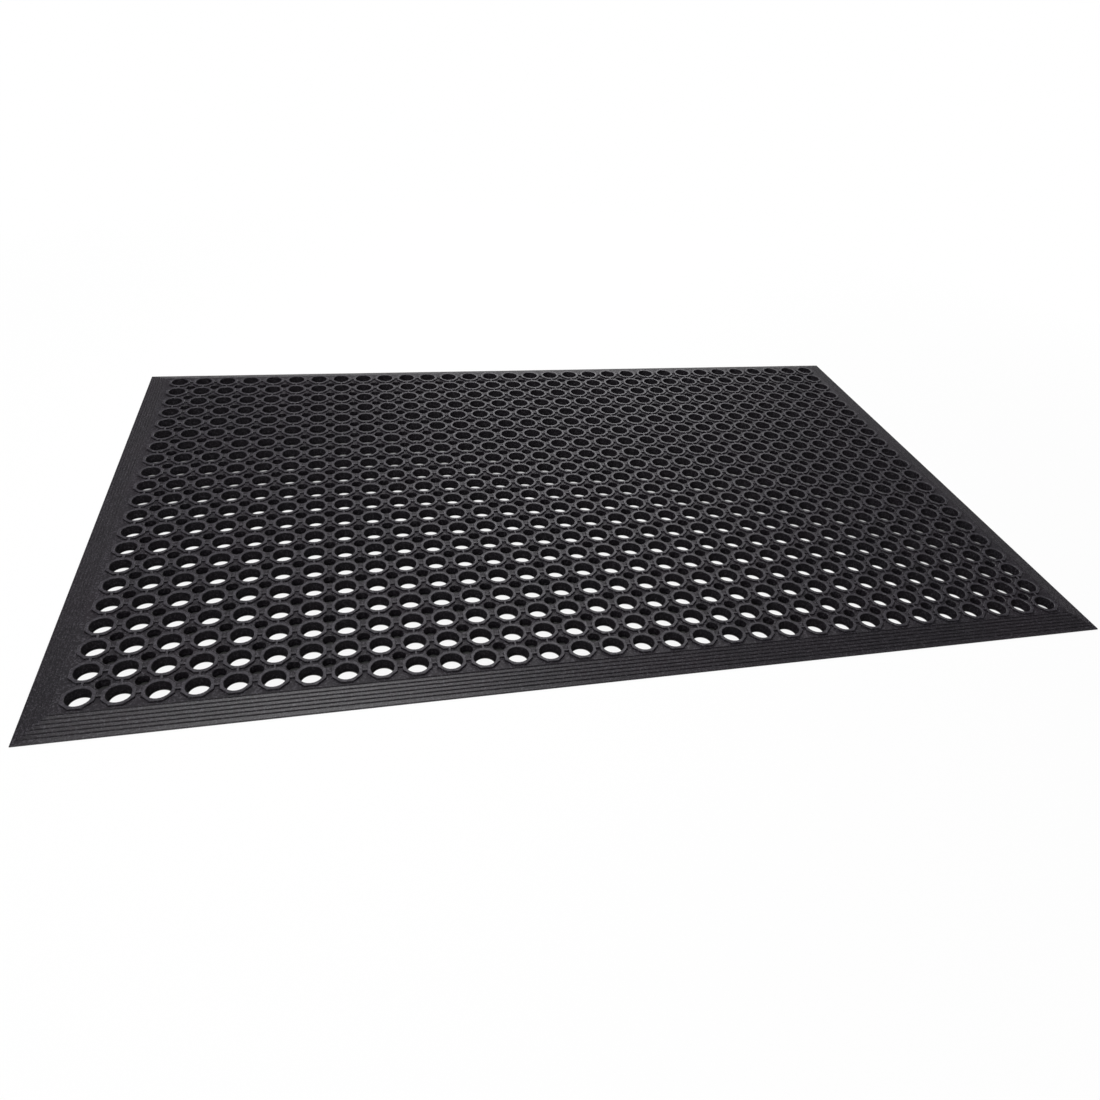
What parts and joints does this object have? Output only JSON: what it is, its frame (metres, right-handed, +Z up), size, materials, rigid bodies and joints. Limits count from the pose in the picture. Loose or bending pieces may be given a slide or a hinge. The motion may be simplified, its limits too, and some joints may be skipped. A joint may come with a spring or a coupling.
{
  "type": "anti fatigue mat",
  "caption": "Rubber drainage mat to stand on: a field of collared drain holes with small holes between them, grooved ramps with mitred corners, and flex lines along which it rolls up.",
  "frame": {"origin": "on the floor, under the middle of the mat", "axes": "+X along the length, to the right as seen from the front, +Y to the back, +Z up"},
  "size_m": [1.2, 0.8, 0.012],
  "materials": {
    "moulded_rubber": "matt, fine moulded grain"
  },
  "bodies": {
    "band_1": {"drain_panel_1": "moulded_rubber", "ring_collars_1": "moulded_rubber", "front_ramp_1": "moulded_rubber", "rear_ramp_1": "moulded_rubber", "left_ramp": "moulded_rubber"},
    "band_2": {"drain_panel_2": "moulded_rubber", "ring_collars_2": "moulded_rubber", "front_ramp_2": "moulded_rubber", "rear_ramp_2": "moulded_rubber"},
    "band_3": {"drain_panel_3": "moulded_rubber", "ring_collars_3": "moulded_rubber", "front_ramp_3": "moulded_rubber", "rear_ramp_3": "moulded_rubber"},
    "band_4": {"drain_panel_4": "moulded_rubber", "ring_collars_4": "moulded_rubber", "front_ramp_4": "moulded_rubber", "rear_ramp_4": "moulded_rubber"},
    "band_5": {"drain_panel_5": "moulded_rubber", "ring_collars_5": "moulded_rubber", "front_ramp_5": "moulded_rubber", "rear_ramp_5": "moulded_rubber"},
    "band_6": {"drain_panel_6": "moulded_rubber", "ring_collars_6": "moulded_rubber", "front_ramp_6": "moulded_rubber", "rear_ramp_6": "moulded_rubber"},
    "band_7": {"drain_panel_7": "moulded_rubber", "ring_collars_7": "moulded_rubber", "front_ramp_7": "moulded_rubber", "rear_ramp_7": "moulded_rubber"},
    "band_8": {"drain_panel_8": "moulded_rubber", "ring_collars_8": "moulded_rubber", "front_ramp_8": "moulded_rubber", "rear_ramp_8": "moulded_rubber", "right_ramp": "moulded_rubber"}
  },
  "joints": [
    {"name": "flex_1", "type": "hinge", "parent": "band_2", "child": "band_1", "pos_m": [-0.426, 0, 0.012], "axis": [0, 1, 0], "range_deg": [0, 40], "stiffness_Nm_per_rad": 0.65},
    {"name": "flex_2", "type": "hinge", "parent": "band_3", "child": "band_2", "pos_m": [-0.284, 0, 0.012], "axis": [0, 1, 0], "range_deg": [0, 40], "stiffness_Nm_per_rad": 0.65},
    {"name": "flex_3", "type": "hinge", "parent": "band_4", "child": "band_3", "pos_m": [-0.142, 0, 0.012], "axis": [0, 1, 0], "range_deg": [0, 40], "stiffness_Nm_per_rad": 0.65},
    {"name": "flex_4", "type": "hinge", "parent": "band_4", "child": "band_5", "pos_m": [0, 0, 0.012], "axis": [0, -1, 0], "range_deg": [0, 40], "stiffness_Nm_per_rad": 0.65},
    {"name": "flex_5", "type": "hinge", "parent": "band_5", "child": "band_6", "pos_m": [0.142, 0, 0.012], "axis": [0, -1, 0], "range_deg": [0, 40], "stiffness_Nm_per_rad": 0.65},
    {"name": "flex_6", "type": "hinge", "parent": "band_6", "child": "band_7", "pos_m": [0.284, 0, 0.012], "axis": [0, -1, 0], "range_deg": [0, 40], "stiffness_Nm_per_rad": 0.65},
    {"name": "flex_7", "type": "hinge", "parent": "band_7", "child": "band_8", "pos_m": [0.426, 0, 0.012], "axis": [0, -1, 0], "range_deg": [0, 40], "stiffness_Nm_per_rad": 0.65}
  ]
}
